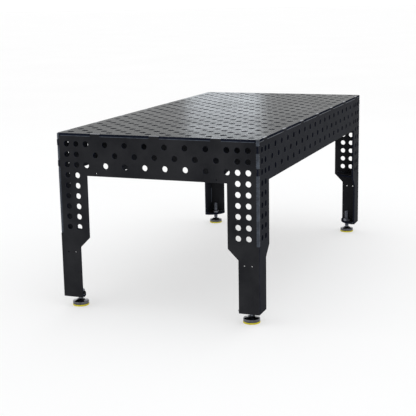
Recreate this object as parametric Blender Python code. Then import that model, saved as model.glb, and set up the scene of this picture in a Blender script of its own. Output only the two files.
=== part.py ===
"""Welding table, 1000 x 2000 mm, with a grid of 28 mm clamping holes in its top, sides and legs.

The table is welded from laser-cut plate: a perforated top, four side sheets whose ends run down as
the leg flanges, slotted ribs under the top, and a stiffener and a base plate inside each leg. Each
leg stands on a levelling foot: a threaded spindle, a swivel ball, a plated disc and a yellow pad.

Metres, +Z up. The origin is on the floor under the table's centre; +Y runs along its length.
"""

import math

import bmesh
import bpy
from mathutils import Matrix, Vector

MM = 0.001

# Whole table
WIDTH = 1000 * MM
LENGTH = 2000 * MM
HEIGHT = 855 * MM
GAP = 0.3 * MM  # between pieces that are welded or rest on each other

# Hole grid
PITCH = 100 * MM
HALF_PITCH = PITCH / 2
HOLE_RADIUS = 14 * MM
HOLE_CORNERS = 6

# Plates
TOP_THICKNESS = 12 * MM
SIDE_THICKNESS = 10 * MM
APRON_DEPTH = 200 * MM
TAB_WIDTH = 50 * MM
TAB_PITCH = 300 * MM

# Leg flanges, measured from the leg's outer corner and down from the table's top face
LEG_BOTTOM_DEPTH = 800 * MM
FLANGE_WIDTH = 150 * MM
FLANGE_DEPTH = 500 * MM
ANKLE_WIDTH = 100 * MM
ANKLE_DEPTH = 550 * MM
LEG_HOLE_ROWS = 9
CORNER_TAB_DEPTHS = (45 * MM, 145 * MM)
CORNER_TAB_HEIGHT = 30 * MM

# Small holes of the short sides, each by its distance from the leg's outer corner and its depth
BOLT_HOLE_RADIUS = 3.4 * MM
BOLT_HOLE_PLACES = ((200 * MM, 187 * MM), (36 * MM, 575 * MM), (72 * MM, 575 * MM))

# Ribs under the top, half way between two rows of holes
RIB_THICKNESS = 8 * MM
RIB_DEPTH = 178 * MM
LENGTH_RIB_PLACES = (-225 * MM, 225 * MM)
CROSS_RIB_PLACES = (-625 * MM, -225 * MM, 225 * MM, 625 * MM)

# Plates inside the legs, quarter discs about the leg's outer corner
STIFFENER_RADIUS = 130 * MM
STIFFENER_THICKNESS = 10 * MM
STIFFENER_DEPTH = 488 * MM  # of its upper face
BASE_RADIUS = 105 * MM
BASE_THICKNESS = 12 * MM
ARC_STEPS = 8

# Levelling feet, heights above the floor
FOOT_INSET = 58 * MM
PAD_RADIUS = 40 * MM
PAD_HEIGHT = 8 * MM
DISC_RADIUS = 39.5 * MM
DISC_WALL_TOP = 20 * MM
DISC_TOP = 32 * MM
BALL_HEIGHT = 21 * MM
BALL_RADIUS = 9 * MM
JOURNAL_RADIUS = 5 * MM
NECK_RADIUS = 8 * MM
THREAD_RADIUS = 12 * MM
THREAD_START = 35 * MM
THREAD_END = 130 * MM
THREAD_CHAMFER = 1.5 * MM
NUT_FLATS = 36 * MM
NUT_HEIGHT = 12 * MM
SOCKET_RADIUS = 12.2 * MM
CUP_WALL = 1.3 * MM
COARSE_SIDES = 12
FINE_SIDES = 16

# Colours, roughness and metallic of the finishes
BLACK_STEEL = ("black_nitrided_steel", (0.030, 0.031, 0.035), 0.42, 0.75)
TOP_STEEL = ("black_nitrided_top", (0.045, 0.047, 0.048), 0.36, 0.80)
PLATED_STEEL = ("bright_plated_steel", (0.72, 0.73, 0.76), 0.12, 1.0)
THREAD_STEEL = ("zinc_plated_thread", (0.45, 0.46, 0.48), 0.35, 1.0)
BRONZE = ("bronze_cup", (0.50, 0.33, 0.15), 0.35, 1.0)
YELLOW_PAD = ("yellow_polyurethane", (0.80, 0.60, 0.03), 0.50, 0.0)


def finish(name, colour, roughness, metallic):
    """The named finish, made once."""
    material = bpy.data.materials.get(name)
    if material:
        return material
    material = bpy.data.materials.new(name)
    material.use_nodes = True
    shader = material.node_tree.nodes["Principled BSDF"]
    shader.inputs["Base Color"].default_value = (*colour, 1)
    shader.inputs["Roughness"].default_value = roughness
    shader.inputs["Metallic"].default_value = metallic
    return material


def regular(sides, inner_radius, centre=(0, 0)):
    """Corners of a regular polygon whose flats lie at the inner radius."""
    radius = inner_radius / math.cos(math.pi / sides)
    turns = (2 * math.pi * (corner + 0.5) / sides for corner in range(sides))
    return [(centre[0] + radius * math.cos(turn), centre[1] + radius * math.sin(turn)) for turn in turns]


def plate(name, outlines, thickness, placing, look):
    """A flat plate, its first outline the edge and the rest holes, laid in XY and then placed."""
    curve = bpy.data.curves.new(name, "CURVE")
    curve.dimensions = "2D"
    curve.fill_mode = "BOTH"
    curve.extrude = thickness / 2
    for outline in outlines:
        spline = curve.splines.new("POLY")
        spline.points.add(len(outline) - 1)
        for point, (x, y) in zip(spline.points, outline):
            point.co = (x, y, 0, 1)
        spline.use_cyclic_u = True
    curve.materials.append(finish(*look))
    piece = bpy.data.objects.new(name, curve)
    piece.matrix_world = placing
    bpy.context.collection.objects.link(piece)
    return piece


def upright(middle, along):
    """Stands a plate up: its X runs along the given direction and its Y runs up from the floor."""
    up = Vector((0, 0, 1))
    axes = Matrix((along, up, Vector(along).cross(up))).transposed()
    return Matrix.Translation(middle) @ axes.to_4x4()


def stepped(half_length, level, centres, width, height):
    """Points from one end of an edge to the other, with a square step at each centre."""
    points = [(-half_length, level)]
    for centre in centres:
        points += [(centre - width / 2, level), (centre - width / 2, level + height)]
        points += [(centre + width / 2, level + height), (centre + width / 2, level)]
    return points + [(half_length, level)]


def tab_centres(length):
    """Places of the weld tabs along an edge, spread both ways from its middle."""
    count = 2 * int((length / 2 - HALF_PITCH) / TAB_PITCH) + 1
    return [(index - count // 2) * TAB_PITCH for index in range(count)]


def turned_quarters(points, quarters):
    """A flat outline turned anticlockwise by quarter turns."""
    for _ in range(quarters):
        points = [(-y, x) for x, y in points]
    return points


def top_holes():
    """The diagonal grid: one set of rows starts half a pitch in, the other a whole pitch in."""
    holes = []
    for inset in (HALF_PITCH, PITCH):
        columns = round((WIDTH - 2 * inset) / PITCH) + 1
        rows = round((LENGTH - 2 * inset) / PITCH) + 1
        for column in range(columns):
            for row in range(rows):
                x = inset + column * PITCH - WIDTH / 2
                y = inset + row * PITCH - LENGTH / 2
                holes.append(regular(HOLE_CORNERS, HOLE_RADIUS, (x, y)))
    return holes


def make_top_plate():
    """The perforated top, notched at its edges for the side sheets' tabs."""
    notch_width = TAB_WIDTH + 2 * GAP
    notch_depth = SIDE_THICKNESS + GAP
    edge = []
    for quarters in range(4):
        length, across = (LENGTH, WIDTH) if quarters % 2 else (WIDTH, LENGTH)
        side = stepped(length / 2, -across / 2, tab_centres(length), notch_width, notch_depth)
        edge += turned_quarters(side, quarters)[:-1]
    placing = Matrix.Translation((0, 0, HEIGHT - TOP_THICKNESS / 2))
    plate("top_plate", [edge] + top_holes(), TOP_THICKNESS, placing, TOP_STEEL)


def side_hole_places(length):
    """Distance from the middle and depth of every clamping hole in a side sheet and its leg flanges."""
    places = []
    half = round(length / HALF_PITCH) // 2
    for column in range(1 - half, half):
        from_corner = half - abs(column)
        rows = range(1, LEG_HOLE_ROWS + 1) if from_corner <= 2 else range(1, 4)
        for row in rows:
            on_grid = (from_corner + row) % 2 == 0
            if from_corner <= 2 or on_grid:
                places.append((column * HALF_PITCH, row * HALF_PITCH))
    return places


def bolt_hole_places():
    """Distance from the middle and depth of a short side's small holes: in its apron and both flanges."""
    half = WIDTH / 2
    right = [(half - inset, depth) for inset, depth in BOLT_HOLE_PLACES]
    return right + [(-distance, depth) for distance, depth in right]


def side_outline(length, end, corner_step):
    """A side sheet's edge. Its own end may stop short of the table's corner, and steps out or in there."""
    half = length / 2
    top = HEIGHT - TOP_THICKNESS - GAP
    top_edge = stepped(end, top, tab_centres(length), TAB_WIDTH, HEIGHT - top)
    outline = [point for point in top_edge if point[0] >= 0]
    for depth in CORNER_TAB_DEPTHS:
        reach = (CORNER_TAB_HEIGHT + (2 * GAP if corner_step < 0 else 0)) / 2
        high = HEIGHT - depth + reach
        low = HEIGHT - depth - reach
        outline += [(end, high), (end + corner_step, high), (end + corner_step, low), (end, low)]
    outline.append((end, HEIGHT - LEG_BOTTOM_DEPTH))
    outline.append((half - ANKLE_WIDTH, HEIGHT - LEG_BOTTOM_DEPTH))
    outline.append((half - ANKLE_WIDTH, HEIGHT - ANKLE_DEPTH))
    outline.append((half - FLANGE_WIDTH, HEIGHT - FLANGE_DEPTH))
    outline.append((half - FLANGE_WIDTH, HEIGHT - APRON_DEPTH))
    return outline + [(-x, y) for x, y in reversed(outline)]


def make_side_sheets():
    """Four sheets, each an apron with a leg flange at both ends; the short ones cover the long ones' ends."""
    step = SIDE_THICKNESS + GAP
    end_place = (LENGTH - SIDE_THICKNESS) / 2
    side_place = (WIDTH - SIDE_THICKNESS) / 2
    sheets = (
        ("front_side_sheet", WIDTH, WIDTH / 2, -step, (0, -end_place, 0), (1, 0, 0)),
        ("rear_side_sheet", WIDTH, WIDTH / 2, -step, (0, end_place, 0), (-1, 0, 0)),
        ("right_side_sheet", LENGTH, LENGTH / 2 - step, step, (side_place, 0, 0), (0, 1, 0)),
        ("left_side_sheet", LENGTH, LENGTH / 2 - step, step, (-side_place, 0, 0), (0, -1, 0)),
    )
    for name, length, end, corner_step, middle, along in sheets:
        places = [(place, HOLE_RADIUS) for place in side_hole_places(length)]
        if length == WIDTH:
            places += [(place, BOLT_HOLE_RADIUS) for place in bolt_hole_places()]
        holes = []
        for (distance, depth), radius in places:
            holes.append(regular(HOLE_CORNERS, radius, (distance, HEIGHT - depth)))
        outline = side_outline(length, end, corner_step)
        plate(name, [outline] + holes, SIDE_THICKNESS, upright(middle, along), BLACK_STEEL)


def make_rib(name, length, crossings, slot_from_top, placing):
    """A rib with a slot half its depth at each crossing, so that two ribs slide into each other."""
    top = HEIGHT - TOP_THICKNESS - GAP
    bottom = top - RIB_DEPTH
    end = length / 2 - SIDE_THICKNESS - GAP
    slot_width = RIB_THICKNESS + 2 * GAP
    slot_depth = RIB_DEPTH / 2 + GAP
    level, far_level = (top, bottom) if slot_from_top else (bottom, top)
    slotted = stepped(end, level, crossings, slot_width, -slot_depth if slot_from_top else slot_depth)
    plate(name, [slotted + [(end, far_level), (-end, far_level)]], RIB_THICKNESS, placing, BLACK_STEEL)


def make_ribs():
    """Two ribs along the table and four across it."""
    for place, side in zip(LENGTH_RIB_PLACES, ("left", "right")):
        make_rib(f"{side}_length_rib", LENGTH, CROSS_RIB_PLACES, False, upright((place, 0, 0), (0, 1, 0)))
    for number, place in enumerate(CROSS_RIB_PLACES, 1):
        make_rib(f"cross_rib_{number}", WIDTH, LENGTH_RIB_PLACES, True, upright((0, place, 0), (1, 0, 0)))


def quarter_disc(radius):
    """A quarter disc about the leg's outer corner, cut back to the inner faces of the two flanges."""
    inner = SIDE_THICKNESS + GAP
    first = math.asin(inner / radius)
    sweep = math.pi / 2 - 2 * first
    turns = (first + sweep * step / ARC_STEPS for step in range(ARC_STEPS + 1))
    return [(inner, inner)] + [(radius * math.cos(turn), radius * math.sin(turn)) for turn in turns]


def make_leg_plates(corner, x_side, y_side):
    """The stiffener and the base plate inside one leg, and the nut welded on the base plate."""
    turn = Matrix.Rotation(math.atan2(-y_side, -x_side) - math.pi / 4, 4, "Z")
    legs_corner = Matrix.Translation((x_side * WIDTH / 2, y_side * LENGTH / 2, 0)) @ turn
    foot = (FOOT_INSET, FOOT_INSET)
    bore = regular(COARSE_SIDES, THREAD_RADIUS + GAP, foot)
    stiffener = [quarter_disc(STIFFENER_RADIUS)]
    base_plate = [quarter_disc(BASE_RADIUS), bore]
    nut = [regular(6, NUT_FLATS / 2, foot), bore]
    stiffener_top = HEIGHT - STIFFENER_DEPTH
    base_top = HEIGHT - LEG_BOTTOM_DEPTH + BASE_THICKNESS
    nut_top = base_top + GAP + NUT_HEIGHT
    rows = (
        ("stiffener", stiffener, STIFFENER_THICKNESS, stiffener_top, BLACK_STEEL),
        ("base_plate", base_plate, BASE_THICKNESS, base_top, BLACK_STEEL),
        ("spindle_nut", nut, NUT_HEIGHT, nut_top, THREAD_STEEL),
    )
    for name, outlines, thickness, high, look in rows:
        placing = Matrix.Translation((0, 0, high - thickness / 2)) @ legs_corner
        plate(f"{corner}_{name}", outlines, thickness, placing, look)


def turned(name, profile, sides, look, closed=False):
    """A turned piece of a foot, from points (radius, height above the floor), its origin at the ball."""
    shape = bmesh.new()
    points = [shape.verts.new((radius, 0, height - BALL_HEIGHT)) for radius, height in profile]
    pairs = list(zip(points, points[1:]))
    if closed:
        pairs.append((points[-1], points[0]))
    lines = [shape.edges.new(pair) for pair in pairs]
    bmesh.ops.spin(shape, geom=points + lines, axis=(0, 0, 1), angle=2 * math.pi, steps=sides, use_merge=True)
    bmesh.ops.remove_doubles(shape, verts=shape.verts, dist=GAP / 10)
    bmesh.ops.recalc_face_normals(shape, faces=shape.faces)
    mesh = bpy.data.meshes.new(name)
    shape.to_mesh(mesh)
    shape.free()
    mesh.shade_smooth()
    mesh.set_sharp_from_angle(angle=math.radians(40))
    mesh.materials.append(finish(*look))
    piece = bpy.data.objects.new(name, mesh)
    bpy.context.collection.objects.link(piece)
    return piece


def on_sphere(radius, degrees):
    """The profile point of a sphere about the ball's centre at this angle above its equator."""
    turn = math.radians(degrees)
    return (radius * math.cos(turn), BALL_HEIGHT + radius * math.sin(turn))


def spindle_profile():
    """Journal in the ball, shoulder on the ball, neck, and the thread up into the leg."""
    shoulder = on_sphere(BALL_RADIUS, 45)[1] + GAP
    journal_end = on_sphere(BALL_RADIUS, -45)[1] + GAP
    core = THREAD_RADIUS - THREAD_CHAMFER
    return [
        (0, journal_end),
        (JOURNAL_RADIUS, journal_end),
        (JOURNAL_RADIUS, shoulder),
        (NECK_RADIUS, shoulder),
        (NECK_RADIUS, THREAD_START),
        (core, THREAD_START),
        (THREAD_RADIUS, THREAD_START + THREAD_CHAMFER),
        (THREAD_RADIUS, THREAD_END - THREAD_CHAMFER),
        (core, THREAD_END),
        (0, THREAD_END),
    ]


def ball_profile():
    """A ball with flats above and below and a bore for the journal."""
    bore = (JOURNAL_RADIUS + GAP) / math.cos(math.pi / COARSE_SIDES)
    outside = [on_sphere(BALL_RADIUS, angle) for angle in (-45, -22.5, 0, 22.5, 45)]
    return [(bore, outside[0][1])] + outside + [(bore, outside[-1][1])]


def cup_profile():
    """A ring with a hollow and a crowned face, around the ball's equator."""
    hollow = (BALL_RADIUS + GAP) / (math.cos(math.pi / COARSE_SIDES) * math.cos(math.radians(15)))
    inside = [on_sphere(hollow, angle) for angle in (-30, 0, 30)]
    outside = [on_sphere(hollow + CUP_WALL, angle) for angle in (30, 0, -30)]
    return inside + outside


def disc_profile():
    """A bell: flat foot, short wall, cone, and the round socket open at its top."""
    bottom = PAD_HEIGHT + GAP
    mouth = SOCKET_RADIUS - 1.2 * MM
    mouth_angle = math.degrees(math.acos(mouth / SOCKET_RADIUS))
    socket = [on_sphere(SOCKET_RADIUS, angle) for angle in (mouth_angle, 0, -22.5, -45)]
    floor = socket[-1][1] - GAP
    return [
        (0, bottom),
        (DISC_RADIUS, bottom),
        (DISC_RADIUS, DISC_WALL_TOP),
        (DISC_RADIUS - 3.5 * MM, DISC_WALL_TOP + 3.5 * MM),
        (17 * MM, DISC_TOP - 2 * MM),
        (15 * MM, DISC_TOP),
        (mouth, DISC_TOP),
        *socket,
        (0, floor),
    ]


def pad_profile():
    """A flat pad with broken edges."""
    edge = 1 * MM
    return [
        (0, 0),
        (PAD_RADIUS - edge, 0),
        (PAD_RADIUS, edge),
        (PAD_RADIUS, PAD_HEIGHT - edge),
        (PAD_RADIUS - edge, PAD_HEIGHT),
        (0, PAD_HEIGHT),
    ]


def make_foot(corner, x_side, y_side):
    """One levelling foot, hung on an empty at the ball's centre, where its joints' axes meet."""
    centre = bpy.data.objects.new(f"{corner}_foot_centre", None)
    centre.location = (x_side * (WIDTH / 2 - FOOT_INSET), y_side * (LENGTH / 2 - FOOT_INSET), BALL_HEIGHT)
    bpy.context.collection.objects.link(centre)
    pieces = (
        turned(f"{corner}_spindle", spindle_profile(), COARSE_SIDES, THREAD_STEEL),
        turned(f"{corner}_swivel_ball", ball_profile(), COARSE_SIDES, PLATED_STEEL, closed=True),
        turned(f"{corner}_ball_cup", cup_profile(), COARSE_SIDES, BRONZE, closed=True),
        turned(f"{corner}_foot_disc", disc_profile(), FINE_SIDES, PLATED_STEEL),
        turned(f"{corner}_foot_pad", pad_profile(), FINE_SIDES, YELLOW_PAD),
    )
    for piece in pieces:
        piece.parent = centre


def make_table():
    """The welded table and its four legs."""
    make_top_plate()
    make_side_sheets()
    make_ribs()
    for end, y_side in (("front", -1), ("rear", 1)):
        for side, x_side in (("left", -1), ("right", 1)):
            make_leg_plates(f"{end}_{side}", x_side, y_side)
            make_foot(f"{end}_{side}", x_side, y_side)


for old in list(bpy.data.objects):
    bpy.data.objects.remove(old)
make_table()
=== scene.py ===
import math

import bmesh
import bpy
from mathutils import Matrix, Quaternion, Vector


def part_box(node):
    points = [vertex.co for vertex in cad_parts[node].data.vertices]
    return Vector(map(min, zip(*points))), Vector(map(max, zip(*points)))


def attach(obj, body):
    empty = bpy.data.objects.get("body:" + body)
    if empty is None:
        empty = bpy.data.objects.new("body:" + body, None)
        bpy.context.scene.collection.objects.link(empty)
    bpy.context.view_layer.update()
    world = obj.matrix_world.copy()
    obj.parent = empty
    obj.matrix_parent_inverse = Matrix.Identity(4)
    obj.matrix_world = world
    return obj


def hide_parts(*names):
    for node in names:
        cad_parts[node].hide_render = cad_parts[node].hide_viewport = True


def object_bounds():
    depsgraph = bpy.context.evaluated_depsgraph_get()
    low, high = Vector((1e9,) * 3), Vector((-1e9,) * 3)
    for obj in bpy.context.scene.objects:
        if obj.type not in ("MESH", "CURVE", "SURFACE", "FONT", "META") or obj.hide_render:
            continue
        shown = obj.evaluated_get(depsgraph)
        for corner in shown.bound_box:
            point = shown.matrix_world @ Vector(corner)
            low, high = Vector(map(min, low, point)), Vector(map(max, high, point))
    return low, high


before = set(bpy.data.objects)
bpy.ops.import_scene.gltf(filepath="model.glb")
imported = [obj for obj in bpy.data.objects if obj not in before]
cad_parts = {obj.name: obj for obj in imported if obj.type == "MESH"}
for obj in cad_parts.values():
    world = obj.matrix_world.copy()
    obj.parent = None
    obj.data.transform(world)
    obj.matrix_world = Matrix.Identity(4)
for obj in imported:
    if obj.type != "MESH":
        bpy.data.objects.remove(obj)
cad_low, cad_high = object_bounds()

MM = 0.001

# The studio. A plain pale floor under an even white sky, a small soft box low behind the table that
# the worktop mirrors, and a wide one overhead, both faintly blue. The camera stands in front and to
# the right, a little above the worktop.
CAMERA_AIM = Vector((-0.105, -0.065, 0.323))
CAMERA_DISTANCE = 5.505
CAMERA_AZIMUTH = math.radians(21.25)
CAMERA_ELEVATION = math.radians(12.11)
CAMERA_ROLL = math.radians(1.03)
CAMERA_LENS = 86.1
FLOOR_RADIUS = 110
FLOOR_COLOURS = ((0.42, 0.42, 0.42), (0.45, 0.45, 0.45))
FLOOR_GLOW = 0.48
SKY_STRENGTH = 1.12
# place, size across and up, power in watts, for each soft box; each one faces the table's middle
SOFT_BOXES = (
    ("back_soft_box", (-2.3, 6.2, 1.65), (0.9, 0.8), 5.5),
    ("overhead_soft_box", (0.5, -1.0, 5.0), (4.0, 4.0), 30),
)
SOFT_BOX_COLOUR = (0.84, 0.92, 1.0)


class Wire:
    """A number that varies over a surface. Arithmetic on it adds Math nodes to its finish."""

    def __init__(self, finish, socket):
        self.finish = finish
        self.socket = socket

    def maths(self, operation, first, second):
        return self.finish.node("ShaderNodeMath", {"operation": operation}, {0: first, 1: second})

    def __add__(self, other):
        return self.maths("ADD", self, other)

    def __mul__(self, other):
        return self.maths("MULTIPLY", self, other)

    def __sub__(self, other):
        return self.maths("SUBTRACT", self, other)

    def __rsub__(self, other):
        return self.maths("SUBTRACT", other, self)

    __radd__ = __add__
    __rmul__ = __mul__

    def between(self, low, high, first=0.0, last=1.0):
        """This number's range from low to high, mapped to first and last and held there beyond."""
        limits = {"Value": self, "From Min": low, "From Max": high, "To Min": first, "To Max": last}
        return self.finish.node("ShaderNodeMapRange", {}, limits)


class Finish:
    """A material made of nodes, around one Principled BSDF."""

    def __init__(self, name, **constants):
        self.material = bpy.data.materials.new(name)
        self.material.use_nodes = True
        self.tree = self.material.node_tree
        self.shader = self.tree.nodes["Principled BSDF"]
        for socket, value in constants.items():
            self.shader.inputs[socket.replace("_", " ")].default_value = value

    def node(self, kind, settings, inputs, output=0):
        """Adds a node: its settings first, then the values or wires of its sockets."""
        node = self.tree.nodes.new(kind)
        for name, value in settings.items():
            setattr(node, name, value)
        for socket, value in inputs.items():
            self.feed(node.inputs[socket], value)
        return Wire(self, node.outputs[output])

    def feed(self, socket, value):
        if isinstance(value, Wire):
            self.tree.links.new(value.socket, socket)
        else:
            socket.default_value = value

    def cover(self, **wires):
        """Feeds the shader's varying sockets."""
        for socket, wire in wires.items():
            self.feed(self.shader.inputs[socket.replace("_", " ")], wire)

    def place(self, scale=(1, 1, 1), turn=(0, 0, 0)):
        """Object coordinates, turned and scaled."""
        here = self.node("ShaderNodeTexCoord", {}, {}, "Object")
        return self.node("ShaderNodeMapping", {}, {"Vector": here, "Rotation": turn, "Scale": scale})

    def noise(self, place, scale, detail=2.0, roughness=0.5):
        """Noise from 0 to 1, with this many features to the metre."""
        inputs = {"Vector": place, "Scale": scale, "Detail": detail, "Roughness": roughness}
        return self.node("ShaderNodeTexNoise", {}, inputs)

    def blend(self, factor, first, second):
        """The first colour where the factor is 0, the second where it is 1."""
        colours = [
            colour if isinstance(colour, Wire) else (*colour, 1)
            for colour in (first, second)
        ]
        # the node has a set of sockets for each kind of value, so its colours go by number
        inputs = {"Factor": factor, 6: colours[0], 7: colours[1]}
        return self.node("ShaderNodeMix", {"data_type": "RGBA"}, inputs, 2)

    def relief(self, height, depth):
        """A bump of the given depth in metres."""
        return self.node("ShaderNodeBump", {}, {"Height": height, "Distance": depth, "Strength": 1.0})


def keep(name, shape, materials, smooth_to=30):
    """Makes an object of a finished shape, smooth but for the edges sharper than this many degrees."""
    mesh = bpy.data.meshes.new(name)
    shape.to_mesh(mesh)
    shape.free()
    for material in materials:
        mesh.materials.append(material)
    mesh.shade_smooth()
    mesh.set_sharp_from_angle(angle=math.radians(smooth_to))
    piece = bpy.data.objects.new(name, mesh)
    bpy.context.scene.collection.objects.link(piece)
    return piece


def floor_paint():
    """White paint that glows a little, as a floor lit from beneath does, so that shadows stay faint."""
    paint = Finish("floor_paint", Roughness=0.9, Specular_IOR_Level=0.1, Emission_Strength=FLOOR_GLOW)
    cloud = paint.noise(paint.place(), 0.6)
    paint.cover(Base_Color=paint.blend(cloud, *FLOOR_COLOURS))
    return paint.material


floor_shape = bmesh.new()
bmesh.ops.create_circle(floor_shape, cap_ends=True, segments=64, radius=FLOOR_RADIUS)
floor = keep("studio_floor", floor_shape, [floor_paint()])

sky = bpy.data.worlds.new("sky")
sky.use_nodes = True
sky.node_tree.nodes["Background"].inputs["Color"].default_value = (1, 1, 1, 1)
sky.node_tree.nodes["Background"].inputs["Strength"].default_value = SKY_STRENGTH
bpy.context.scene.world = sky
bpy.context.scene.view_settings.view_transform = "Standard"

for name, middle, (across, up), watts in SOFT_BOXES:
    lamp = bpy.data.lights.new(name, "AREA")
    lamp.shape = "RECTANGLE"
    lamp.size = across
    lamp.size_y = up
    lamp.energy = watts
    lamp.color = SOFT_BOX_COLOUR
    soft_box = bpy.data.objects.new(name, lamp)
    soft_box.location = middle
    soft_box.rotation_mode = "QUATERNION"
    soft_box.rotation_quaternion = (Vector((0, 0, cad_high.z)) - Vector(middle)).to_track_quat("-Z", "Y")
    bpy.context.scene.collection.objects.link(soft_box)

towards_camera = Vector((
    math.sin(CAMERA_AZIMUTH) * math.cos(CAMERA_ELEVATION),
    -math.cos(CAMERA_AZIMUTH) * math.cos(CAMERA_ELEVATION),
    math.sin(CAMERA_ELEVATION),
))
camera = bpy.data.objects.new("camera", bpy.data.cameras.new("camera"))
camera.data.lens = CAMERA_LENS
camera.location = CAMERA_AIM + CAMERA_DISTANCE * towards_camera
camera.rotation_mode = "QUATERNION"
level = (-towards_camera).to_track_quat("-Z", "Y")
camera.rotation_quaternion = Quaternion(-towards_camera, CAMERA_ROLL) @ level
bpy.context.scene.collection.objects.link(camera)
bpy.context.scene.camera = camera

# The worktop: a 12 mm steel plate, laser-cut with 371 clamping holes in a diagonal grid and with
# notches for the side sheets' tabs, machined flat and nitrided black. Its edges are broken all round.
# Its chamfers, cut edges and hole walls are painted a darker, bluer black than its face: painted
# shade inside the holes and along the edges.
WIDTH = cad_high.x - cad_low.x
LENGTH = cad_high.y - cad_low.y
HEIGHT = cad_high.z
TOP_THICKNESS = 12 * MM
SIDE_THICKNESS = 10 * MM
SEAM = 0.3 * MM
PITCH = 100 * MM
HALF_PITCH = PITCH / 2
HOLE_RADIUS = 14 * MM
HOLE_SIDES = 24
TAB_WIDTH = 50 * MM
TAB_PITCH = 300 * MM
CORNER_GROOVE = 8 * MM
EDGE_CHAMFER = 1 * MM
TOP_CHAMFER = 1.8 * MM
RIM_ANGLE = math.radians(50)
NITRIDED_TOP = ((0.013, 0.015, 0.016), (0.024, 0.026, 0.026))
NITRIDED_SIDE = ((0.0115, 0.012, 0.014), (0.026, 0.0265, 0.029))
# the long sheets' colour is a darker, bluer copy of the end sheets' colour: painted shade on the long
# sides
NITRIDED_LONG_SIDE_PAINTED_SHADE = ((0.011, 0.012, 0.015), (0.019, 0.0205, 0.025))
# cut edges and hole walls painted darker and bluer than the faces: painted shade in the holes and on the
# edges
NITRIDED_CUT_PAINTED_SHADE = ((0.005, 0.0065, 0.012), (0.010, 0.012, 0.021))
WORN_EDGE = ((0.012, 0.012, 0.016), (0.045, 0.045, 0.052))
TOP_LUSTRE = 1.07
SIDE_LUSTRE = 1.035
CUT_LUSTRE = 1.02


def nitrided_steel(name, colours, grain, roughness, lustre):
    """Black nitrided plate. Its grain runs through the plate's thickness, as on its cut edges."""
    steel = Finish(name, Metallic=0.0, IOR=lustre)
    here = steel.place()
    cloud = steel.noise(here, 5, 4, 0.6)
    speckle = steel.noise(here, 260, 3)
    striation = steel.noise(steel.place(scale=grain), 900, 3)
    scratch_one = steel.noise(steel.place((3, 260, 3), (0, 0, 0.5)), 1, 1).between(0.70, 0.73)
    scratch_two = steel.noise(steel.place((220, 4, 4), (0.3, 0, 0.2)), 1, 1).between(0.71, 0.74)
    scratches = scratch_one + scratch_two
    tone = cloud * 0.7 + speckle * 0.3
    shade = steel.blend(tone.between(0.35, 0.65), *colours)
    steel.cover(
        Base_Color=steel.blend(scratches * 0.25, shade, WORN_EDGE[0]),
        Roughness=cloud.between(0.3, 0.7, roughness - 0.02, roughness + 0.03) - scratches * 0.04,
        Normal=steel.relief(striation * 0.6 + speckle * 0.4, 0.06 * MM),
    )
    return steel.material


def worn_edge(name, grain):
    """The broken edges of a nitrided plate, rubbed to grey steel in places."""
    steel = Finish(name, Metallic=0.4, IOR=SIDE_LUSTRE)
    here = steel.place()
    patch = steel.noise(here, 30, 3).between(0.35, 0.65)
    speckle = steel.noise(steel.place(scale=grain), 700, 2)
    steel.cover(
        Base_Color=steel.blend(patch, *WORN_EDGE),
        Roughness=speckle.between(0.3, 0.7, 0.35, 0.50),
        Normal=steel.relief(speckle, 0.04 * MM),
    )
    return steel.material


def cut_plate(outline, holes, thickness, placing, chamfer=EDGE_CHAMFER):
    """A plate in its own XY with round holes (x, y, radius), its edges broken, moved to its place."""
    shape = bmesh.new()
    corners = [shape.verts.new((x, y, -thickness / 2)) for x, y in outline]
    for pair in zip(corners, corners[1:] + corners[:1]):
        shape.edges.new(pair)
    for x, y, radius in holes:
        spot = Matrix.Translation((x, y, -thickness / 2))
        bmesh.ops.create_circle(shape, segments=HOLE_SIDES, radius=radius, matrix=spot)
    bmesh.ops.triangle_fill(shape, use_beauty=True, edges=shape.edges[:])
    raised = bmesh.ops.extrude_face_region(shape, geom=shape.faces[:])["geom"]
    upper = [part for part in raised if isinstance(part, bmesh.types.BMVert)]
    bmesh.ops.translate(shape, verts=upper, vec=(0, 0, thickness))
    bmesh.ops.recalc_face_normals(shape, faces=shape.faces[:])
    rims = [edge for edge in shape.edges if edge.calc_face_angle() > RIM_ANGLE]
    broken = bmesh.ops.bevel(
        shape, geom=rims, offset=chamfer, affect="EDGES", segments=1, profile=0.5, material=-1
    )
    for face in shape.faces:
        if abs(face.normal.z) < 0.1:
            face.material_index = 2
    for face in broken["faces"]:
        face.material_index = 1
    bmesh.ops.transform(shape, matrix=placing, verts=shape.verts[:])
    return shape


def stepped(half_length, level, centres, width, height):
    """Points from one end of an edge to the other, with a square step at each centre."""
    points = [(-half_length, level)]
    for centre in centres:
        points += [(centre - width / 2, level), (centre - width / 2, level + height)]
        points += [(centre + width / 2, level + height), (centre + width / 2, level)]
    return points + [(half_length, level)]


def tab_centres(length):
    """Places of the weld tabs along an edge, spread both ways from its middle."""
    count = 2 * int((length / 2 - HALF_PITCH) / TAB_PITCH) + 1
    return [(index - count // 2) * TAB_PITCH for index in range(count)]


def top_outline():
    """The worktop's edge, notched for the tabs, and at its corners for the corner welds."""
    points = []
    for quarters in range(4):
        length, across = (LENGTH, WIDTH) if quarters % 2 else (WIDTH, LENGTH)
        end = length / 2 - CORNER_GROOVE
        width = TAB_WIDTH + 2 * SEAM
        side = stepped(end, -across / 2, tab_centres(length), width, SIDE_THICKNESS + SEAM)
        side.append((end, -across / 2 + CORNER_GROOVE))
        for _ in range(quarters):
            side = [(-y, x) for x, y in side]
        points += side
    return points


def top_holes():
    """The diagonal grid: one set of rows starts half a pitch in, the other a whole pitch in."""
    holes = []
    for inset in (HALF_PITCH, PITCH):
        columns = round((WIDTH - 2 * inset) / PITCH) + 1
        rows = round((LENGTH - 2 * inset) / PITCH) + 1
        for column in range(columns):
            for row in range(rows):
                x = inset + column * PITCH - WIDTH / 2
                y = inset + row * PITCH - LENGTH / 2
                holes.append((x, y, HOLE_RADIUS))
    return holes


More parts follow.
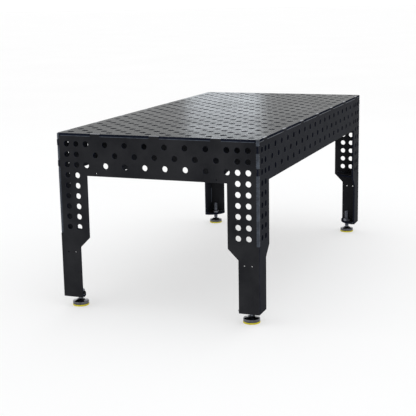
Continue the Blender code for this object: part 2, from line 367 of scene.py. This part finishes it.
top_middle = Matrix.Translation((0, 0, HEIGHT - TOP_THICKNESS / 2))
worktop_shape = cut_plate(top_outline(), top_holes(), TOP_THICKNESS, top_middle, TOP_CHAMFER)
flat_grain = (1, 1, 0.02)
top_steel = nitrided_steel("nitrided_worktop", NITRIDED_TOP, flat_grain, 0.25, TOP_LUSTRE)
# The worktop's chamfers and cut faces take the darker cut colour, which is painted shade.
top_edge_painted_shade = nitrided_steel("nitrided_worktop_edges_painted_shade", NITRIDED_CUT_PAINTED_SHADE, flat_grain, 0.50, CUT_LUSTRE)
top_cut_painted_shade = nitrided_steel("nitrided_worktop_cuts_painted_shade", NITRIDED_CUT_PAINTED_SHADE, flat_grain, 0.60, CUT_LUSTRE)
worktop = keep("worktop", worktop_shape, [top_steel, top_edge_painted_shade, top_cut_painted_shade])
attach(worktop, "table")
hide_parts("top_plate")

# The four side sheets: 10 mm plate, laser-cut in one piece with the outer flanges of two legs, with
# three rows of clamping holes and a ladder of holes down each flange. Their tabs stand in the
# worktop's notches, and at the corners the long sheets' tabs pass through the short sheets.
APRON_DEPTH = 200 * MM
LEG_BOTTOM_DEPTH = 800 * MM
FLANGE_WIDTH = 150 * MM
FLANGE_DEPTH = 500 * MM
ANKLE_WIDTH = 100 * MM
ANKLE_DEPTH = 550 * MM
LEG_HOLE_ROWS = 9
CORNER_TAB_DEPTHS = (45 * MM, 145 * MM)
CORNER_TAB_HEIGHT = 30 * MM
CORNER_WELD_DEPTH = 483 * MM
BOLT_HOLE_RADIUS = 3.4 * MM
GROUND_STEEL = ((0.17, 0.18, 0.20), (0.31, 0.32, 0.35))
# distance from the leg's outer corner and depth below the top, on the short sides only
BOLT_HOLE_PLACES = ((200 * MM, 187 * MM), (36 * MM, 575 * MM), (72 * MM, 575 * MM))


def side_holes(length):
    """The clamping holes of a side sheet: a diagonal grid, and full columns down the two legs."""
    holes = []
    half = round(length / HALF_PITCH) // 2
    for column in range(1 - half, half):
        from_corner = half - abs(column)
        rows = range(1, LEG_HOLE_ROWS + 1) if from_corner <= 2 else range(1, 4)
        for row in rows:
            if from_corner <= 2 or (from_corner + row) % 2 == 0:
                holes.append((column * HALF_PITCH, HEIGHT - row * HALF_PITCH, HOLE_RADIUS))
    return holes


def bolt_holes():
    """The small holes of a short side, in its apron and in both flanges."""
    holes = []
    for inset, depth in BOLT_HOLE_PLACES:
        for side in (-1, 1):
            holes.append((side * (WIDTH / 2 - inset), HEIGHT - depth, BOLT_HOLE_RADIUS))
    return holes


def side_outline(length, covers_corner):
    """A side sheet's edge. One that covers the corner is cut back for the corner weld and the tabs."""
    half = length / 2
    seam_height = HEIGHT - TOP_THICKNESS - SEAM
    inner_end = half - SIDE_THICKNESS - SEAM
    end = half - CORNER_GROOVE if covers_corner else inner_end
    tab_end = inner_end if covers_corner else half
    play = SEAM if covers_corner else 0
    whole_top = stepped(end, seam_height, tab_centres(length), TAB_WIDTH, HEIGHT - seam_height)
    outline = [point for point in whole_top if point[0] >= 0]
    for depth in CORNER_TAB_DEPTHS:
        high = HEIGHT - depth + CORNER_TAB_HEIGHT / 2 + play
        low = HEIGHT - depth - CORNER_TAB_HEIGHT / 2 - play
        outline += [(end, high), (tab_end, high), (tab_end, low), (end, low)]
    if covers_corner:
        outline += [(end, HEIGHT - CORNER_WELD_DEPTH), (half, HEIGHT - CORNER_WELD_DEPTH)]
        end = half
    outline += [
        (end, HEIGHT - LEG_BOTTOM_DEPTH),
        (half - ANKLE_WIDTH, HEIGHT - LEG_BOTTOM_DEPTH),
        (half - ANKLE_WIDTH, HEIGHT - ANKLE_DEPTH),
        (half - FLANGE_WIDTH, HEIGHT - FLANGE_DEPTH),
        (half - FLANGE_WIDTH, HEIGHT - APRON_DEPTH),
    ]
    return outline + [(-x, y) for x, y in reversed(outline)]


def upright(middle, along):
    """Stands a plate up: its X runs along the given direction and its Y runs up from the floor."""
    up = Vector((0, 0, 1))
    axes = Matrix((along, up, Vector(along).cross(up))).transposed()
    return Matrix.Translation(middle) @ axes.to_4x4()


def ground_metal(name):
    """Bare steel where a weld or a tab's end was ground flush, with the marks of the grinding disc."""
    steel = Finish(name, Metallic=1.0)
    marks = steel.noise(steel.place((60, 60, 60)), 8, 3)
    steel.cover(
        Base_Color=steel.blend(marks, *GROUND_STEEL),
        Roughness=marks.between(0.3, 0.7, 0.28, 0.45),
        Normal=steel.relief(marks, 0.05 * MM),
    )
    return steel.material


ground_steel = ground_metal("ground_tab_ends")
side_place = (WIDTH - SIDE_THICKNESS) / 2
end_place = (LENGTH - SIDE_THICKNESS) / 2
crosswise_grain = (1, 0.02, 1)
lengthwise_grain = (0.02, 1, 1)
end_steel = nitrided_steel("nitrided_end_sheets", NITRIDED_SIDE, crosswise_grain, 0.42, SIDE_LUSTRE)
# The sheets' cut edges and hole walls take the darker cut colour, which is painted shade.
end_cut_painted_shade = nitrided_steel("nitrided_end_sheet_cuts_painted_shade", NITRIDED_CUT_PAINTED_SHADE, crosswise_grain, 0.60, CUT_LUSTRE)
end_edge = worn_edge("worn_end_sheet_edges", crosswise_grain)
# The long sheets and the length ribs take the darker copy of the plate colour, which is painted shade.
long_steel_painted_shade = nitrided_steel(
    "nitrided_long_sheets_painted_shade", NITRIDED_LONG_SIDE_PAINTED_SHADE, lengthwise_grain, 0.42, SIDE_LUSTRE
)
long_cut_painted_shade = nitrided_steel("nitrided_long_sheet_cuts_painted_shade", NITRIDED_CUT_PAINTED_SHADE, lengthwise_grain, 0.60, CUT_LUSTRE)
long_edge = worn_edge("worn_long_sheet_edges", lengthwise_grain)
for side, middle, along in (
    ("front", (0, -end_place, 0), (1, 0, 0)),
    ("rear", (0, end_place, 0), (-1, 0, 0)),
    ("right", (side_place, 0, 0), (0, 1, 0)),
    ("left", (-side_place, 0, 0), (0, -1, 0)),
):
    is_end = side in ("front", "rear")
    span = WIDTH if is_end else LENGTH
    cuts = side_holes(span) + (bolt_holes() if is_end else [])
    sheet_shape = cut_plate(side_outline(span, is_end), cuts, SIDE_THICKNESS, upright(middle, along))
    for face in sheet_shape.faces:
        if face.calc_center_median().z > HEIGHT - EDGE_CHAMFER:
            face.material_index = 3
    looks = [end_steel, end_edge, end_cut_painted_shade] if is_end else [long_steel_painted_shade, long_edge, long_cut_painted_shade]
    sheet = keep(f"{side}_apron_and_legs", sheet_shape, looks + [ground_steel])
    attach(sheet, "table")
    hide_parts(f"{side}_side_sheet")

# The ribs: 8 mm plate, two along the table and four across it, slotted half way into each other at
# the crossings, with nothing but welds to hold them up under the worktop.
RIB_THICKNESS = 8 * MM
RIB_DEPTH = 178 * MM
LENGTH_RIB_PLACES = (-225 * MM, 225 * MM)
CROSS_RIB_PLACES = (-625 * MM, -225 * MM, 225 * MM, 625 * MM)


def rib_outline(length, crossings, slot_from_top):
    """A rib's edge, with a slot half its depth at each crossing."""
    top = HEIGHT - TOP_THICKNESS - SEAM
    bottom = top - RIB_DEPTH
    end = length / 2 - SIDE_THICKNESS - SEAM
    slot_depth = RIB_DEPTH / 2 + SEAM
    level, far_level = (top, bottom) if slot_from_top else (bottom, top)
    step = -slot_depth if slot_from_top else slot_depth
    outline = stepped(end, level, crossings, RIB_THICKNESS + 2 * SEAM, step)
    return outline + [(end, far_level), (-end, far_level)]


ribs = []
for place, side in zip(LENGTH_RIB_PLACES, ("left", "right")):
    outline = rib_outline(LENGTH, CROSS_RIB_PLACES, False)
    placing = upright((place, 0, 0), (0, 1, 0))
    ribs.append((f"{side}_length_rib", outline, placing, [long_steel_painted_shade, long_edge, long_cut_painted_shade]))
for number, place in enumerate(CROSS_RIB_PLACES, 1):
    outline = rib_outline(WIDTH, LENGTH_RIB_PLACES, True)
    placing = upright((0, place, 0), (1, 0, 0))
    ribs.append((f"cross_rib_{number}", outline, placing, [end_steel, end_edge, end_cut_painted_shade]))
for node, outline, placing, looks in ribs:
    rib = keep(f"{node}_plate", cut_plate(outline, [], RIB_THICKNESS, placing), looks)
    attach(rib, "table")
    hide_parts(node)

# The plates inside each leg: a stiffener across the two flanges and a base plate at the leg's foot,
# both quarter discs of black steel, the base plate bored for the levelling spindle.
STIFFENER_RADIUS = 130 * MM
STIFFENER_THICKNESS = 10 * MM
STIFFENER_DEPTH = 488 * MM
BASE_RADIUS = 105 * MM
BASE_THICKNESS = 12 * MM
FOOT_INSET = 58 * MM
BORE_RADIUS = 12.6 * MM
ARC_STEPS = 24
CORNERS = (("front_left", -1, -1), ("front_right", 1, -1), ("rear_left", -1, 1), ("rear_right", 1, 1))


def quarter_disc(radius):
    """A quarter disc about the leg's outer corner, cut back to the inner faces of the two flanges."""
    inner = SIDE_THICKNESS + SEAM
    first = math.asin(inner / radius)
    sweep = math.pi / 2 - 2 * first
    turns = [first + sweep * step / ARC_STEPS for step in range(ARC_STEPS + 1)]
    return [(inner, inner)] + [(radius * math.cos(turn), radius * math.sin(turn)) for turn in turns]


def in_leg(x_side, y_side, height):
    """Places a plate whose corner is at its origin into a leg, at this height."""
    turn = Matrix.Rotation(math.atan2(-y_side, -x_side) - math.pi / 4, 4, "Z")
    return Matrix.Translation((x_side * WIDTH / 2, y_side * LENGTH / 2, height)) @ turn


# The leg plates' chamfers and cut edges take the worktop's darker edge finishes, which are painted
# shade.
flat_steel = nitrided_steel("nitrided_leg_plates", NITRIDED_SIDE, flat_grain, 0.45, SIDE_LUSTRE)
foot_hole = [(FOOT_INSET, FOOT_INSET, BORE_RADIUS)]
base_top = HEIGHT - LEG_BOTTOM_DEPTH + BASE_THICKNESS
for corner, x_side, y_side in CORNERS:
    for node, radius, holes, thickness, high in (
        ("stiffener", STIFFENER_RADIUS, [], STIFFENER_THICKNESS, HEIGHT - STIFFENER_DEPTH),
        ("base_plate", BASE_RADIUS, foot_hole, BASE_THICKNESS, base_top),
    ):
        placing = in_leg(x_side, y_side, high - thickness / 2)
        plate_shape = cut_plate(quarter_disc(radius), holes, thickness, placing)
        plate = keep(f"{corner}_leg_{node}", plate_shape, [flat_steel, top_edge_painted_shade, top_cut_painted_shade])
        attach(plate, "table")
        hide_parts(f"{corner}_{node}")

# The welds: rippled beads, a lighter, bluer grey than the plate, which is a painted reflection of the
# bluish light on their rounded faces. They fill the groove down each corner between the tabs, run in
# stitches along the seam under the worktop's edge, and join the tabs, ribs and leg plates inside.
CORNER_BEAD_RADIUS = 9.5 * MM
CORNER_BEAD_PROUD = 1.6 * MM
SEAM_BEAD_RADIUS = 2.6 * MM
SEAM_BEAD_PROUD = 0.5 * MM
FILLET_RADIUS = 4 * MM
RIPPLE_PITCH = 6 * MM
BEAD_SIDES = 12
# shares of the bead's radius: at its ends, between two ripples, and how far it wanders
BEAD_END = 0.6
BEAD_DIP = 0.9
BEAD_WANDER = 0.05
WANDER_TURN = 1.7  # radians from one step to the next
LEG_BEAD_LENGTH = 100 * MM
LEG_BEAD_TOPS = (620 * MM, 420 * MM, 220 * MM)
STITCH_LENGTH = 50 * MM
STITCH_PITCH = 200 * MM
# lighter and bluer than the plate: a painted reflection of bluish light on the rounded beads
WELD_PAINTED_BLUE_REFLECTION = ((0.018, 0.023, 0.034), (0.048, 0.060, 0.080))


def lay_bead(shape, start, end, radius):
    """Adds a weld bead from start to end: a closed rod, swelling at every ripple, slim at its ends."""
    start, end = Vector(start), Vector(end)
    along = end - start
    steps = max(6, 2 * round(along.length / RIPPLE_PITCH))
    turn = along.to_track_quat("Z", "Y").to_matrix().to_4x4()
    size = radius * BEAD_END
    placing = Matrix.Translation(start) @ turn
    ring = bmesh.ops.create_circle(
        shape, cap_ends=True, segments=BEAD_SIDES, radius=size, matrix=placing
    )["verts"]
    rim = list({edge for point in ring for edge in point.link_edges})
    for step in range(1, steps + 1):
        ripple = 1.0 if step % 2 else BEAD_DIP
        wander = 1 + BEAD_WANDER * math.sin(step * WANDER_TURN)
        wanted = radius * (BEAD_END if step == steps else ripple * wander)
        middle = start + along * step / steps
        grown = bmesh.ops.extrude_edge_only(shape, edges=rim)["geom"]
        ring = [part for part in grown if isinstance(part, bmesh.types.BMVert)]
        rim = [part for part in grown if isinstance(part, bmesh.types.BMEdge) and part.is_boundary]
        bmesh.ops.translate(shape, verts=ring, vec=along / steps)
        share = wanted / size
        bmesh.ops.scale(shape, verts=ring, vec=(share, share, share), space=Matrix.Translation(-middle))
        size = wanted
    bmesh.ops.edgeloop_fill(shape, edges=rim)


def weld_with_painted_reflection(name):
    """Weld metal, mottled along the bead. Its grey, lighter and bluer than the plate, is a painted
    reflection of bluish light.
    """
    weld = Finish(name, Metallic=0.35)
    here = weld.place()
    tint = weld.noise(here, 45, 3)
    fleck = weld.noise(here, 900, 2)
    weld.cover(
        Base_Color=weld.blend(tint.between(0.35, 0.65), *WELD_PAINTED_BLUE_REFLECTION),
        Roughness=fleck.between(0.3, 0.7, 0.40, 0.55),
        Normal=weld.relief(fleck, 0.08 * MM),
    )
    return weld.material


weld_metal = weld_with_painted_reflection("weld_metal_painted_blue_reflection")


def weld_piece(name, beads):
    """One object of several beads, each with a start, an end and a radius."""
    shape = bmesh.new()
    for start, end, radius in beads:
        lay_bead(shape, start, end, radius)
    bmesh.ops.recalc_face_normals(shape, faces=shape.faces[:])
    weld = keep(name, shape, [weld_metal], 60)
    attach(weld, "table")


def between_tabs(length, inset):
    """The stretches of a top edge that lie between its tabs, from end to end."""
    stops = [-length / 2 + inset]
    for centre in tab_centres(length):
        stops += [centre - TAB_WIDTH / 2, centre + TAB_WIDTH / 2]
    stops.append(length / 2 - inset)
    return list(zip(stops[::2], stops[1::2]))


# Down each corner: above, between and below the two tabs
half_tab = CORNER_TAB_HEIGHT / 2
corner_stops = [EDGE_CHAMFER]
for depth in CORNER_TAB_DEPTHS:
    corner_stops += [depth - half_tab, depth + half_tab]
corner_stops.append(CORNER_WELD_DEPTH)
seam_height = HEIGHT - TOP_THICKNESS
for corner, x_side, y_side in CORNERS:
    x = x_side * (WIDTH / 2 - CORNER_BEAD_RADIUS + CORNER_BEAD_PROUD)
    y = y_side * (LENGTH / 2 - CORNER_BEAD_RADIUS + CORNER_BEAD_PROUD)
    corner_beads = []
    for high, low in zip(corner_stops[::2], corner_stops[1::2]):
        corner_beads.append(((x, y, HEIGHT - high), (x, y, HEIGHT - low), CORNER_BEAD_RADIUS))
    weld_piece(f"{corner}_corner_weld", corner_beads)


def level_bead(crosswise, place, first, height, length, radius):
    """A level bead, along X at Y = place where it is crosswise, and along Y at X = place otherwise."""
    last = first + length
    if crosswise:
        return (first, place, height), (last, place, height), radius
    return (place, first, height), (place, last, height), radius


# Along the seam under the worktop's edge, a little proud of the sides
for side, sign, crosswise in (
    ("front", -1, True),
    ("rear", 1, True),
    ("left", -1, False),
    ("right", 1, False),
):
    length, width = (WIDTH, LENGTH) if crosswise else (LENGTH, WIDTH)
    place = sign * (width / 2 - SEAM_BEAD_RADIUS + SEAM_BEAD_PROUD)
    seam_beads = []
    for first, last in between_tabs(length, 2 * CORNER_BEAD_RADIUS):
        bead = level_bead(crosswise, place, first, seam_height, last - first, SEAM_BEAD_RADIUS)
        seam_beads.append(bead)
    weld_piece(f"{side}_seam_weld", seam_beads)

# Inside: stitches where the aprons and the ribs meet the worktop's underside
inner_x = WIDTH / 2 - SIDE_THICKNESS
inner_y = LENGTH / 2 - SIDE_THICKNESS
under = seam_height - SEAM
apron_stitches = []
for length, inner_face, crosswise in ((WIDTH, inner_y, True), (LENGTH, inner_x, False)):
    for place in (-inner_face, inner_face):
        for centre in tab_centres(length):
            first = centre - STITCH_LENGTH / 2
            bead = level_bead(crosswise, place, first, under, STITCH_LENGTH, FILLET_RADIUS)
            apron_stitches.append(bead)
weld_piece("apron_stitch_welds", apron_stitches)

rib_stitches = []
for length, rib_places, crosswise in (
    (LENGTH, LENGTH_RIB_PLACES, False),
    (WIDTH, CROSS_RIB_PLACES, True),
):
    for rib_place in rib_places:
        place = rib_place + RIB_THICKNESS / 2
        for number in range(round(length / STITCH_PITCH)):
            first = -length / 2 + (number + 0.5) * STITCH_PITCH
            bead = level_bead(crosswise, place, first, under, STITCH_LENGTH, FILLET_RADIUS)
            rib_stitches.append(bead)
weld_piece("rib_stitch_welds", rib_stitches)

# Inside each leg: down the corner, and along the edges of the stiffener and the base plate
for corner, x_side, y_side in CORNERS:
    x, y = x_side * inner_x, y_side * inner_y
    leg_beads = []
    for high in LEG_BEAD_TOPS:
        leg_beads.append(((x, y, high), (x, y, high - LEG_BEAD_LENGTH), FILLET_RADIUS))
    for height, reach in ((HEIGHT - STIFFENER_DEPTH, STIFFENER_RADIUS), (base_top, BASE_RADIUS)):
        far = reach - SIDE_THICKNESS
        near = far - STITCH_LENGTH
        near_x, far_x = x - x_side * near, x - x_side * far
        near_y, far_y = y - y_side * near, y - y_side * far
        leg_beads.append(((near_x, y, height), (far_x, y, height), FILLET_RADIUS))
        leg_beads.append(((x, near_y, height), (x, far_y, height), FILLET_RADIUS))
    weld_piece(f"{corner}_leg_welds", leg_beads)

# The levelling feet: a zinc-plated M24 spindle in a nut welded to the base plate, a swivel ball held
# in a bronze cup, and a turned, bright-plated disc on a yellow polyurethane pad.
THREAD_PITCH = 3 * MM
THREAD_CORE = 10.4 * MM
THREAD_CREST = 12 * MM
THREAD_START = 35 * MM
THREAD_END = 130 * MM
THREAD_RUN_OUT = 1 * MM
THREAD_FLAT = 0.4 * MM  # across the crest
THREAD_SUNK = 0.5 * MM  # how far its foot is let into the core
THREAD_GAP = 0.1 * MM  # from each side of its foot to half way between two turns
CENTRE_HOLE_RADIUS = 5 * MM
CENTRE_HOLE_DEPTH = 4 * MM
NECK_RADIUS = 8 * MM
JOURNAL_RADIUS = 5 * MM
JOURNAL_LOW = 15 * MM
JOURNAL_HIGH = 27.7 * MM
BALL_HEIGHT = 21 * MM
BALL_RADIUS = 9 * MM
BALL_ANGLE = 45  # degrees above and below its equator, to the flats
CUP_INSIDE = 9.3 * MM
CUP_OUTSIDE = 10.9 * MM
CUP_ANGLE = 28  # degrees above and below the ball's equator
SOCKET_RADIUS = 12.2 * MM
SOCKET_DEPTH_ANGLE = 45  # degrees below the ball's middle, where the socket's floor starts
MOUTH_LIP = 1.2 * MM
DISC_RADIUS = 39.5 * MM
DISC_BOTTOM = 8.3 * MM
DISC_TOP = 32 * MM
WALL_TOP = 20 * MM
WALL_ROUNDING = 2.5 * MM
COLLAR_RADIUS = 15.5 * MM
# the hollowed cone between the wall and the collar, as radius and height
DISC_CONE = ((28 * MM, 24.6 * MM), (22 * MM, 26.6 * MM), (18.5 * MM, 28.8 * MM), (17 * MM, 31 * MM))
PAD_RADIUS = 40 * MM
PAD_TOP = 8 * MM
PAD_ROUNDING = 1.2 * MM
PAD_GROOVE = 0.4 * MM
EDGE_ROUNDING = 1 * MM
PLAY = 0.2 * MM  # between a bore and what turns in it
NUT_FLATS = 36 * MM
NUT_CHAMFER = 0.8 * MM
NUT_FACE = 0.95  # of the width across flats
NUT_SLOPE = math.tan(math.radians(30))
TURNED_SIDES = 64
THREAD_SIDES = 28
ZINC = ((0.10, 0.11, 0.13), (0.21, 0.22, 0.25))
# the bright plating is coloured dark: a painted reflection of the dark table and surroundings
PLATE_PAINTED_DARK_REFLECTION = ((0.070, 0.072, 0.080), (0.150, 0.153, 0.166))
BRONZE = ((0.38, 0.24, 0.09), (0.52, 0.35, 0.15))
YELLOW = ((0.50, 0.42, 0.006), (0.62, 0.53, 0.010))


def turned_metal(name, colours, roughness):
    """A finish turned on a lathe: fine rings about the foot's axis, alike on all four feet."""
    metal = Finish(name, Metallic=1.0)
    here = metal.node("ShaderNodeTexCoord", {}, {}, "Object")
    folded = metal.node("ShaderNodeVectorMath", {"operation": "ABSOLUTE"}, {0: here})
    axis = (WIDTH / 2 - FOOT_INSET, LENGTH / 2 - FOOT_INSET, BALL_HEIGHT)
    centred = metal.node("ShaderNodeVectorMath", {"operation": "SUBTRACT"}, {0: folded, 1: axis})
    flat = metal.node("ShaderNodeVectorMath", {"operation": "MULTIPLY"}, {0: centred, 1: (1, 1, 0)})
    radius = metal.node("ShaderNodeVectorMath", {"operation": "LENGTH"}, {0: flat}, "Value")
    height = metal.node("ShaderNodeSeparateXYZ", {}, {0: centred}, "Z")
    path = metal.node("ShaderNodeCombineXYZ", {}, {"X": radius, "Y": height})
    rings = metal.noise(path, 1500, 2)
    stain = metal.noise(here, 60, 3)
    metal.cover(
        Base_Color=metal.blend(stain.between(0.3, 0.7), *colours),
        Roughness=stain.between(0.3, 0.7, roughness * 0.8, roughness * 1.25),
        Normal=metal.relief(rings, 0.01 * MM),
    )
    return metal.material


def yellow_polyurethane():
    """Cast yellow plastic, faintly uneven, with a dull skin."""
    pad = Finish("yellow_polyurethane", Metallic=0.0)
    here = pad.place()
    cloud = pad.noise(here, 80, 3)
    skin = pad.noise(here, 1200, 2)
    pad.cover(
        Base_Color=pad.blend(cloud.between(0.3, 0.7), *YELLOW),
        Roughness=cloud.between(0.3, 0.7, 0.42, 0.55),
        Normal=pad.relief(skin, 0.05 * MM),
    )
    return pad.material


def lathe(shape, profile, sides=TURNED_SIDES, closed=False):
    """Spins points (radius, height) about the upright axis at the origin."""
    points = [shape.verts.new((radius, 0, height)) for radius, height in profile]
    pairs = list(zip(points, points[1:]))
    if closed:
        pairs.append((points[-1], points[0]))
    lines = [shape.edges.new(pair) for pair in pairs]
    bmesh.ops.spin(
        shape, geom=points + lines, axis=(0, 0, 1), angle=2 * math.pi, steps=sides, use_merge=True
    )
    bmesh.ops.remove_doubles(shape, verts=shape.verts[:], dist=0.01 * MM)
    bmesh.ops.recalc_face_normals(shape, faces=shape.faces[:])


def arc(centre, radius, first, last, steps):
    """Points of an arc in a profile, from one angle to the other in degrees."""
    turns = [math.radians(first + (last - first) * step / steps) for step in range(steps + 1)]
    return [(centre[0] + radius * math.cos(turn), centre[1] + radius * math.sin(turn)) for turn in turns]


def spindle_shape():
    """Journal, shoulder, neck and core, with the thread wound round the core as a tapered rod."""
    shape = bmesh.new()
    lathe(shape, [
        (0, JOURNAL_LOW),
        (JOURNAL_RADIUS - EDGE_ROUNDING / 2, JOURNAL_LOW),
        (JOURNAL_RADIUS, JOURNAL_LOW + EDGE_ROUNDING / 2),
        (JOURNAL_RADIUS, JOURNAL_HIGH),
        (NECK_RADIUS, JOURNAL_HIGH),
        (NECK_RADIUS, THREAD_START),
        (THREAD_CORE, THREAD_START + THREAD_RUN_OUT),
        (THREAD_CORE, THREAD_END - THREAD_RUN_OUT),
        (THREAD_CORE - THREAD_RUN_OUT, THREAD_END),
        (CENTRE_HOLE_RADIUS, THREAD_END),
        (CENTRE_HOLE_RADIUS - EDGE_ROUNDING, THREAD_END - CENTRE_HOLE_DEPTH),
        (0, THREAD_END - CENTRE_HOLE_DEPTH),
    ], THREAD_SIDES)
    thread = bmesh.new()
    low = THREAD_START + THREAD_RUN_OUT
    turns = int((THREAD_END - THREAD_RUN_OUT - low) / THREAD_PITCH) - 1
    steps = turns * THREAD_SIDES
    root = THREAD_CORE - THREAD_SUNK
    crest = low + THREAD_PITCH / 2
    flank = [thread.verts.new(point) for point in (
        (root, 0, low + THREAD_GAP),
        (THREAD_CREST, 0, crest - THREAD_FLAT / 2),
        (THREAD_CREST, 0, crest + THREAD_FLAT / 2),
        (root, 0, low + THREAD_PITCH - THREAD_GAP),
    )]
    face = thread.faces.new(flank)
    rise = (0, 0, THREAD_PITCH / THREAD_SIDES)
    whole = 2 * math.pi * turns
    bmesh.ops.spin(
        thread, geom=[face], axis=(0, 0, 1), dvec=rise, angle=whole, steps=steps, use_merge=False
    )
    bmesh.ops.recalc_face_normals(thread, faces=thread.faces[:])
    wound = bpy.data.meshes.new("thread")
    thread.to_mesh(wound)
    thread.free()
    shape.from_mesh(wound)
    bpy.data.meshes.remove(wound)
    return shape


def nut_shape(bottom, height):
    """A hexagon nut with a bore, its corners turned off at 30 degrees on both faces."""
    shape = bmesh.new()
    per_flat = 8
    sides = 6 * per_flat
    chamfer_circle = NUT_FLATS / 2 * NUT_FACE
    bore = THREAD_CREST + PLAY

    def hexagon(turn):
        return NUT_FLATS / 2 / math.cos((turn + math.pi / 6) % (math.pi / 3) - math.pi / 6)

    def ring(radius_at, height_at):
        made = bmesh.ops.create_circle(shape, segments=sides, radius=1)["verts"]
        for number, point in enumerate(made):
            turn = 2 * math.pi * number / sides
            radius = radius_at(turn)
            point.co = (radius * math.cos(turn), radius * math.sin(turn), height_at(radius))
        return list({edge for point in made for edge in point.link_edges})

    top = bottom + height
    rings = [
        ring(lambda turn: bore, lambda radius: top - NUT_CHAMFER),
        ring(lambda turn: bore + NUT_CHAMFER, lambda radius: top),
        ring(lambda turn: chamfer_circle, lambda radius: top),
        ring(hexagon, lambda radius: top - (radius - chamfer_circle) * NUT_SLOPE),
        ring(hexagon, lambda radius: bottom + (radius - chamfer_circle) * NUT_SLOPE),
        ring(lambda turn: chamfer_circle, lambda radius: bottom),
        ring(lambda turn: bore, lambda radius: bottom),
    ]
    for first, second in zip(rings, rings[1:] + rings[:1]):
        bmesh.ops.bridge_loops(shape, edges=first + second)
    bmesh.ops.recalc_face_normals(shape, faces=shape.faces[:])
    return shape


def disc_profile():
    """The disc from its underside: rounded foot, wall, shoulder, hollowed cone and socket."""
    mouth = SOCKET_RADIUS - MOUTH_LIP
    mouth_angle = math.degrees(math.acos(mouth / SOCKET_RADIUS))
    floor_height = BALL_HEIGHT - SOCKET_RADIUS * math.sin(math.radians(SOCKET_DEPTH_ANGLE)) - SEAM
    heel = (DISC_RADIUS - EDGE_ROUNDING, DISC_BOTTOM + EDGE_ROUNDING)
    return (
        [(0, DISC_BOTTOM)]
        + arc(heel, EDGE_ROUNDING, -90, 0, 4)
        + arc((DISC_RADIUS - WALL_ROUNDING, WALL_TOP), WALL_ROUNDING, 0, 75, 8)
        + list(DISC_CONE)
        + arc((COLLAR_RADIUS, DISC_TOP - EDGE_ROUNDING), EDGE_ROUNDING, 10, 90, 4)
        + [(mouth, DISC_TOP)]
        + arc((0, BALL_HEIGHT), SOCKET_RADIUS, mouth_angle, -SOCKET_DEPTH_ANGLE, 10)
        + [(0, floor_height)]
    )


def pad_profile():
    """The pad: flat, with rounded edges and a shallow groove round its side."""
    inset = PAD_RADIUS - PAD_ROUNDING
    middle = PAD_TOP / 2
    groove = [
        (PAD_RADIUS, middle - PAD_GROOVE),
        (PAD_RADIUS - PAD_GROOVE, middle),
        (PAD_RADIUS, middle + PAD_GROOVE),
    ]
    return (
        [(0, 0)]
        + arc((inset, PAD_ROUNDING), PAD_ROUNDING, -90, 0, 4)
        + groove
        + arc((inset, PAD_TOP - PAD_ROUNDING), PAD_ROUNDING, 0, 90, 4)
        + [(0, PAD_TOP)]
    )


def ball_profile():
    """A ball with flats above and below, bored for the journal."""
    bore = JOURNAL_RADIUS + PLAY
    outside = arc((0, BALL_HEIGHT), BALL_RADIUS, -BALL_ANGLE, BALL_ANGLE, 14)
    return [(bore, outside[0][1])] + outside + [(bore, outside[-1][1])]


def cup_profile():
    """A ring round the ball's equator, hollow inside and crowned outside."""
    inside = arc((0, BALL_HEIGHT), CUP_INSIDE, -CUP_ANGLE, CUP_ANGLE, 8)
    return inside + arc((0, BALL_HEIGHT), CUP_OUTSIDE, CUP_ANGLE, -CUP_ANGLE, 8)


def turned_shape(profile, closed=False):
    """A new shape spun from one profile, which is a ring when the profile is closed."""
    shape = bmesh.new()
    lathe(shape, profile, TURNED_SIDES, closed)
    return shape


zinc = turned_metal("zinc_plated_thread", ZINC, 0.34)
# The bright-plated disc and ball take a dark colour, which is a painted reflection of dark surroundings.
plate_painted_dark_reflection = turned_metal("plated_disc_painted_dark_reflection", PLATE_PAINTED_DARK_REFLECTION, 0.12)
bronze = turned_metal("bronze_cup", BRONZE, 0.35)
yellow = yellow_polyurethane()
for corner, x_side, y_side in CORNERS:
    nut_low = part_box(f"{corner}_spindle_nut")[0].z
    nut_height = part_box(f"{corner}_spindle_nut")[1].z - nut_low
    spot = Vector((x_side * (WIDTH / 2 - FOOT_INSET), y_side * (LENGTH / 2 - FOOT_INSET), 0))
    nut = nut_shape(nut_low, nut_height)
    ball = turned_shape(ball_profile(), True)
    cup = turned_shape(cup_profile(), True)
    disc = turned_shape(disc_profile())
    pad = turned_shape(pad_profile())
    for node, body, shape, material, slot in (
        ("spindle_nut", "table", nut, zinc, "zinc_plated_steel"),
        ("spindle", f"{corner}_spindle", spindle_shape(), zinc, "zinc_plated_steel"),
        ("swivel_ball", f"{corner}_ball", ball, plate_painted_dark_reflection, "bright_plated_steel"),
        ("ball_cup", f"{corner}_cup", cup, bronze, "bronze"),
        ("foot_disc", f"{corner}_foot", disc, plate_painted_dark_reflection, "bright_plated_steel"),
        ("foot_pad", f"{corner}_foot", pad, yellow, "yellow_polyurethane"),
    ):
        bmesh.ops.translate(shape, verts=shape.verts[:], vec=spot)
        piece = keep(f"{corner}_turned_{node}", shape, [material], 35)
        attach(piece, body)
        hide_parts(f"{corner}_{node}")
